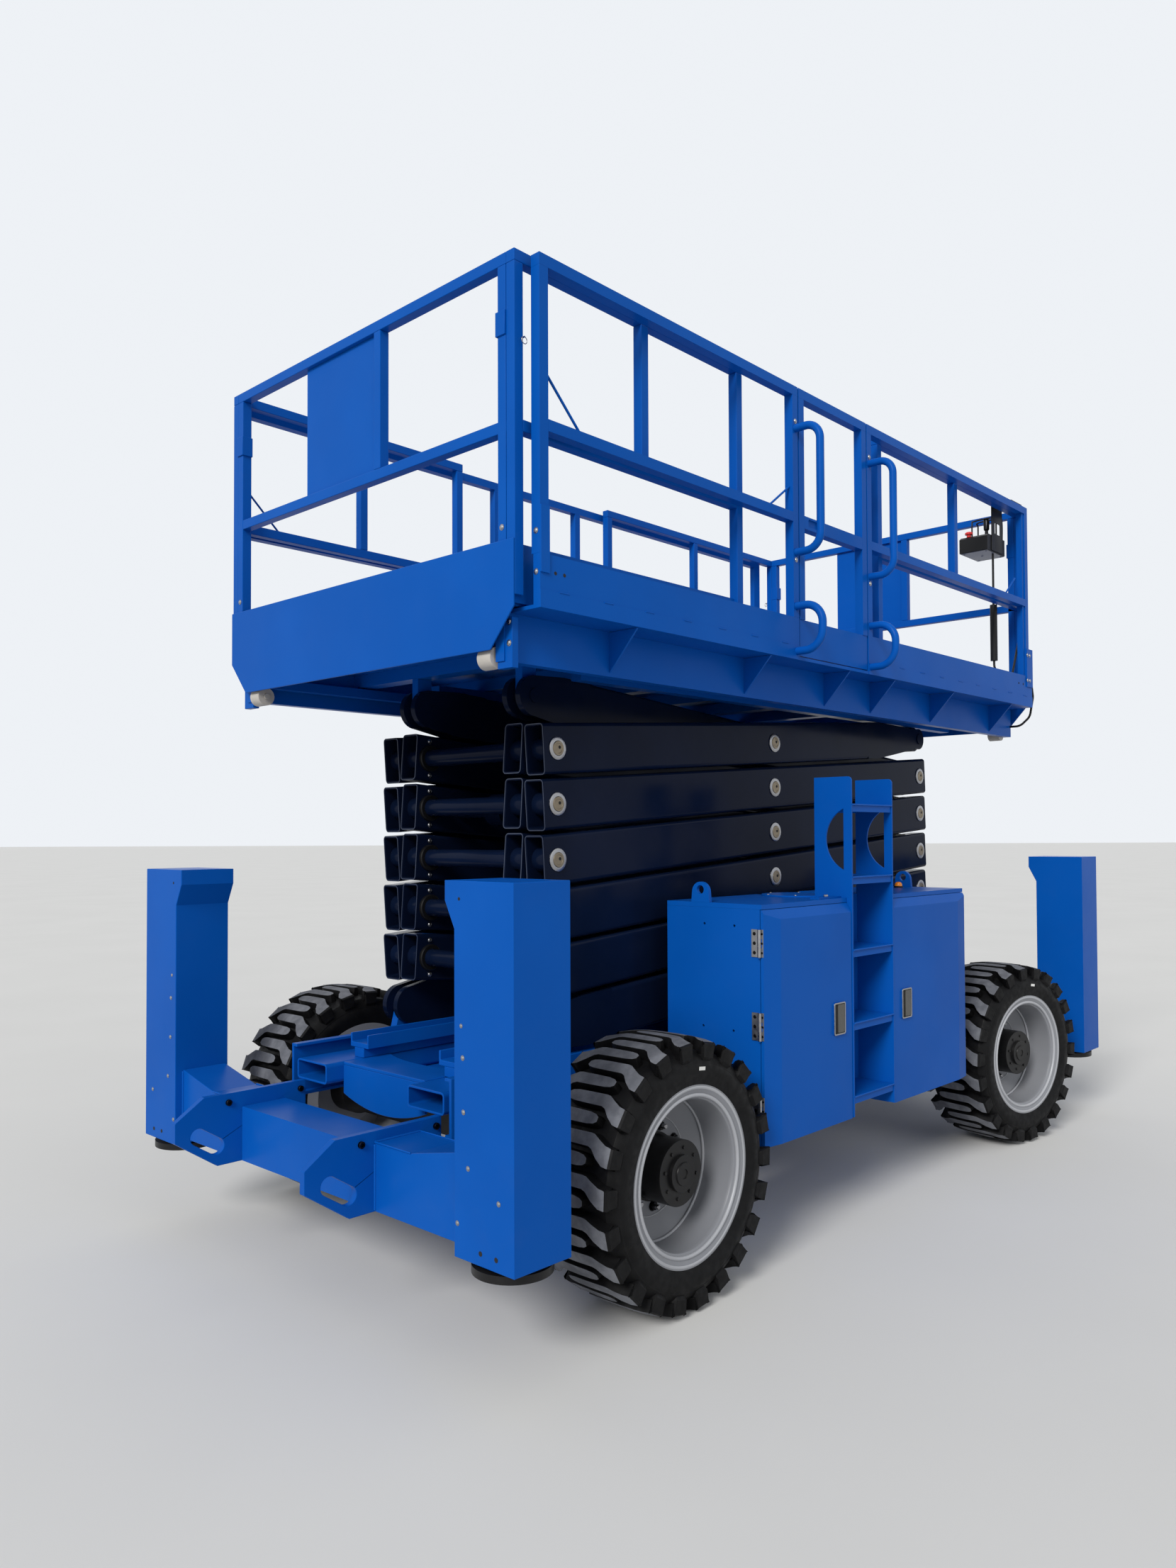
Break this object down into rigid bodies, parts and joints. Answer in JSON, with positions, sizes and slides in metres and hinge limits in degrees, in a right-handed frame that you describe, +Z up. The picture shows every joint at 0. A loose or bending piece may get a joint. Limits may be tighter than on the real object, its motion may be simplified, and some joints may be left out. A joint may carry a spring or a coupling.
{
  "type": "scissor lift",
  "caption": "Rough-terrain scissor lift: six-stage arm stack on a four-wheel chassis with outriggers, cabinets, ladder and a railed platform with sliding extensions.",
  "frame": {"origin": "on the ground, under the middle of the machine", "axes": "+X towards the steered axle, +Y to the left, +Z up"},
  "size_m": [4.976, 2.286, 3.42],
  "materials": {
    "blue_paint": "gloss blue paint over steel sheet and tube",
    "arm_navy": "near-black navy gloss paint over steel tube",
    "chrome_rod": "hard-chromed cylinder rod",
    "tyre_rubber": "black solid rubber with a matt tread",
    "rim_grey": "silver-grey painted steel rim",
    "black_steel": "black painted steel",
    "nylon": "worn off-white nylon"
  },
  "bodies": {
    "chassis": {"chassis_frame": "blue_paint", "fork_pockets": "blue_paint", "rear_outrigger_frame": "blue_paint", "front_outrigger_frame": "blue_paint", "rear_tie_plates": "blue_paint", "front_tie_plates": "blue_paint", "rear_axle": "black_steel", "front_axle": "black_steel", "left_cabinet": "blue_paint", "right_cabinet": "blue_paint", "ladder": "blue_paint", "engine_block": "black_steel"},
    "rear_left_leg": {"rear_left_outrigger_leg": "black_steel"},
    "rear_right_leg": {"rear_right_outrigger_leg": "black_steel"},
    "front_left_leg": {"front_left_outrigger_leg": "black_steel"},
    "front_right_leg": {"front_right_outrigger_leg": "black_steel"},
    "rear_left_wheel": {"rear_left_tyre": "tyre_rubber", "rear_left_wheel": "rim_grey"},
    "rear_right_wheel": {"rear_right_tyre": "tyre_rubber", "rear_right_wheel": "rim_grey"},
    "right_knuckle": {"right_steering_knuckle": "black_steel"},
    "front_right_wheel": {"front_right_tyre": "tyre_rubber", "front_right_wheel": "rim_grey"},
    "left_knuckle": {"left_steering_knuckle": "black_steel"},
    "front_left_wheel": {"front_left_tyre": "tyre_rubber", "front_left_wheel": "rim_grey"},
    "tie_rod": {"tie_rod": "black_steel"},
    "left_rear_door": {"left_rear_door": "blue_paint"},
    "left_front_door": {"left_front_door": "blue_paint"},
    "right_rear_door": {"right_rear_door": "blue_paint"},
    "right_front_door": {"right_front_door": "blue_paint"},
    "outer_1": {"outer_arms_1": "arm_navy"},
    "inner_1": {"inner_arms_1": "arm_navy"},
    "outer_2": {"outer_arms_2": "arm_navy"},
    "inner_2": {"inner_arms_2": "arm_navy"},
    "outer_3": {"outer_arms_3": "arm_navy"},
    "inner_3": {"inner_arms_3": "arm_navy"},
    "outer_4": {"outer_arms_4": "arm_navy"},
    "inner_4": {"inner_arms_4": "arm_navy"},
    "outer_5": {"outer_arms_5": "arm_navy"},
    "inner_5": {"inner_arms_5": "arm_navy"},
    "outer_6": {"outer_arms_6": "arm_navy"},
    "inner_6": {"inner_arms_6": "arm_navy"},
    "platform": {"platform_deck": "blue_paint", "deck_rollers": "nylon", "main_guardrails": "blue_paint", "control_box": "black_steel", "control_cable": "black_steel"},
    "gate": {"gate": "blue_paint"},
    "rear_extension": {"rear_extension_deck": "blue_paint", "rear_extension_rails": "blue_paint"},
    "front_extension": {"front_extension_deck": "blue_paint", "front_extension_rails": "blue_paint"},
    "lower_barrel": {"lower_lift_barrel": "arm_navy"},
    "lower_rod": {"lower_lift_rod": "chrome_rod"},
    "upper_barrel": {"upper_lift_barrel": "arm_navy"},
    "upper_rod": {"upper_lift_rod": "chrome_rod"}
  },
  "joints": [
    {"name": "rear_left_jack", "type": "slide", "parent": "chassis", "child": "rear_left_leg", "axis": [0, 0, -1], "range_m": [0, 0.42]},
    {"name": "rear_right_jack", "type": "slide", "parent": "chassis", "child": "rear_right_leg", "axis": [0, 0, -1], "range_m": [0, 0.42]},
    {"name": "front_left_jack", "type": "slide", "parent": "chassis", "child": "front_left_leg", "axis": [0, 0, -1], "range_m": [0, 0.42]},
    {"name": "front_right_jack", "type": "slide", "parent": "chassis", "child": "front_right_leg", "axis": [0, 0, -1], "range_m": [0, 0.42]},
    {"name": "rear_left_roll", "type": "hinge", "parent": "chassis", "child": "rear_left_wheel", "pos_m": [-1.425, 0.915, 0.452], "axis": [0, 1, 0], "continuous": true},
    {"name": "rear_right_roll", "type": "hinge", "parent": "chassis", "child": "rear_right_wheel", "pos_m": [-1.425, -0.915, 0.452], "axis": [0, 1, 0], "continuous": true},
    {"name": "right_steering", "type": "hinge", "parent": "chassis", "child": "right_knuckle", "pos_m": [1.425, -0.66, 0.452], "axis": [0, 0, 1], "range_deg": [-15.4, 34.6]},
    {"name": "front_right_roll", "type": "hinge", "parent": "right_knuckle", "child": "front_right_wheel", "pos_m": [1.38247, -0.91143, 0.452], "axis": [0.1668, 0.986, 0], "continuous": true},
    {"name": "left_steering", "type": "hinge", "parent": "chassis", "child": "left_knuckle", "pos_m": [1.425, 0.66, 0.452], "axis": [0, 0, 1], "range_deg": [-15.4, 34.6]},
    {"name": "front_left_roll", "type": "hinge", "parent": "left_knuckle", "child": "front_left_wheel", "pos_m": [1.46753, 0.91143, 0.452], "axis": [0.1668, 0.986, 0], "continuous": true},
    {"name": "tie_rod_pivot", "type": "hinge", "parent": "right_knuckle", "child": "tie_rod", "pos_m": [1.2278, -0.62665, 0.478], "axis": [0, 0, 1], "range_deg": [-34.6, 15.4]},
    {"name": "left_rear_door_hinge", "type": "hinge", "parent": "chassis", "child": "left_rear_door", "pos_m": [-0.943, 1.0095, 0.878], "axis": [0, 0, 1], "range_deg": [0, 90]},
    {"name": "left_front_door_hinge", "type": "hinge", "parent": "chassis", "child": "left_front_door", "pos_m": [0.74, 1.0095, 0.878], "axis": [0, 0, -1], "range_deg": [0, 90]},
    {"name": "right_rear_door_hinge", "type": "hinge", "parent": "chassis", "child": "right_rear_door", "pos_m": [-0.943, -1.0095, 0.878], "axis": [0, 0, -1], "range_deg": [0, 90]},
    {"name": "right_front_door_hinge", "type": "hinge", "parent": "chassis", "child": "right_front_door", "pos_m": [0.74, -1.0095, 0.878], "axis": [0, 0, 1], "range_deg": [0, 90]},
    {"name": "lift", "type": "hinge", "parent": "chassis", "child": "outer_1", "pos_m": [-1.46, 0, 0.876], "axis": [0, -1, 0], "range_deg": [0, 55]},
    {"name": "centre_pins_1", "type": "hinge", "parent": "outer_1", "child": "inner_1", "pos_m": [-0.0455, 0, 0.97845], "axis": [0, -1, 0], "range_deg": [-110, 0]},
    {"name": "rear_pins_1", "type": "hinge", "parent": "inner_1", "child": "outer_2", "pos_m": [-1.46, 0, 1.0809], "axis": [0, -1, 0], "range_deg": [0, 110]},
    {"name": "centre_pins_2", "type": "hinge", "parent": "outer_2", "child": "inner_2", "pos_m": [-0.0455, 0, 1.18335], "axis": [0, -1, 0], "range_deg": [-110, 0]},
    {"name": "rear_pins_2", "type": "hinge", "parent": "inner_2", "child": "outer_3", "pos_m": [-1.46, 0, 1.2858], "axis": [0, -1, 0], "range_deg": [0, 110]},
    {"name": "centre_pins_3", "type": "hinge", "parent": "outer_3", "child": "inner_3", "pos_m": [-0.0455, 0, 1.38825], "axis": [0, -1, 0], "range_deg": [-110, 0]},
    {"name": "rear_pins_3", "type": "hinge", "parent": "inner_3", "child": "outer_4", "pos_m": [-1.46, 0, 1.4907], "axis": [0, -1, 0], "range_deg": [0, 110]},
    {"name": "centre_pins_4", "type": "hinge", "parent": "outer_4", "child": "inner_4", "pos_m": [-0.0455, 0, 1.59315], "axis": [0, -1, 0], "range_deg": [-110, 0]},
    {"name": "rear_pins_4", "type": "hinge", "parent": "inner_4", "child": "outer_5", "pos_m": [-1.46, 0, 1.6956], "axis": [0, -1, 0], "range_deg": [0, 110]},
    {"name": "centre_pins_5", "type": "hinge", "parent": "outer_5", "child": "inner_5", "pos_m": [-0.0455, 0, 1.79805], "axis": [0, -1, 0], "range_deg": [-110, 0]},
    {"name": "rear_pins_5", "type": "hinge", "parent": "inner_5", "child": "outer_6", "pos_m": [-1.46, 0, 1.9005], "axis": [0, -1, 0], "range_deg": [0, 110]},
    {"name": "centre_pins_6", "type": "hinge", "parent": "outer_6", "child": "inner_6", "pos_m": [-0.0455, 0, 2.00295], "axis": [0, -1, 0], "range_deg": [-110, 0]},
    {"name": "platform_pins", "type": "hinge", "parent": "inner_6", "child": "platform", "pos_m": [-1.46, 0, 2.1054], "axis": [0, -1, 0], "range_deg": [0, 55]},
    {"name": "gate_hinge", "type": "hinge", "parent": "platform", "child": "gate", "pos_m": [0.043, -0.8687, 2.95], "axis": [0, 0, -1], "range_deg": [0, 90]},
    {"name": "rear_extension_slide", "type": "slide", "parent": "platform", "child": "rear_extension", "axis": [-1, 0, 0], "range_m": [0, 0.9]},
    {"name": "front_extension_slide", "type": "slide", "parent": "platform", "child": "front_extension", "axis": [1, 0, 0], "range_m": [0, 1.2]},
    {"name": "lower_cylinder_tail", "type": "hinge", "parent": "inner_2", "child": "lower_barrel", "pos_m": [-1.29223, 0, 1.27365], "axis": [0, -1, 0], "range_deg": [0, 117.75]},
    {"name": "lower_cylinder_stroke", "type": "slide", "parent": "lower_barrel", "child": "lower_rod", "axis": [0.9935, 0, 0.1136], "range_m": [0, 0.97908]},
    {"name": "upper_cylinder_tail", "type": "hinge", "parent": "inner_4", "child": "upper_barrel", "pos_m": [-1.29223, 0, 1.68345], "axis": [0, -1, 0], "range_deg": [0, 117.75]},
    {"name": "upper_cylinder_stroke", "type": "slide", "parent": "upper_barrel", "child": "upper_rod", "axis": [0.9935, 0, 0.1136], "range_m": [0, 0.97908]}
  ],
  "couplings": [
    {"joint": "left_steering", "follows": "right_steering", "ratio": 1},
    {"joint": "tie_rod_pivot", "follows": "right_steering", "ratio": -1},
    {"joint": "centre_pins_1", "follows": "lift", "ratio": -2},
    {"joint": "rear_pins_1", "follows": "lift", "ratio": 2},
    {"joint": "centre_pins_2", "follows": "lift", "ratio": -2},
    {"joint": "rear_pins_2", "follows": "lift", "ratio": 2},
    {"joint": "centre_pins_3", "follows": "lift", "ratio": -2},
    {"joint": "rear_pins_3", "follows": "lift", "ratio": 2},
    {"joint": "centre_pins_4", "follows": "lift", "ratio": -2},
    {"joint": "rear_pins_4", "follows": "lift", "ratio": 2},
    {"joint": "centre_pins_5", "follows": "lift", "ratio": -2},
    {"joint": "rear_pins_5", "follows": "lift", "ratio": 2},
    {"joint": "centre_pins_6", "follows": "lift", "ratio": -2},
    {"joint": "platform_pins", "follows": "lift", "ratio": 1},
    {"joint": "lower_cylinder_tail", "follows": "lift", "ratio": 2.1408},
    {"joint": "lower_cylinder_stroke", "follows": "lift", "m_per_rad": 1.02},
    {"joint": "upper_cylinder_tail", "follows": "lift", "ratio": 2.1408},
    {"joint": "upper_cylinder_stroke", "follows": "lift", "m_per_rad": 1.02}
  ]
}
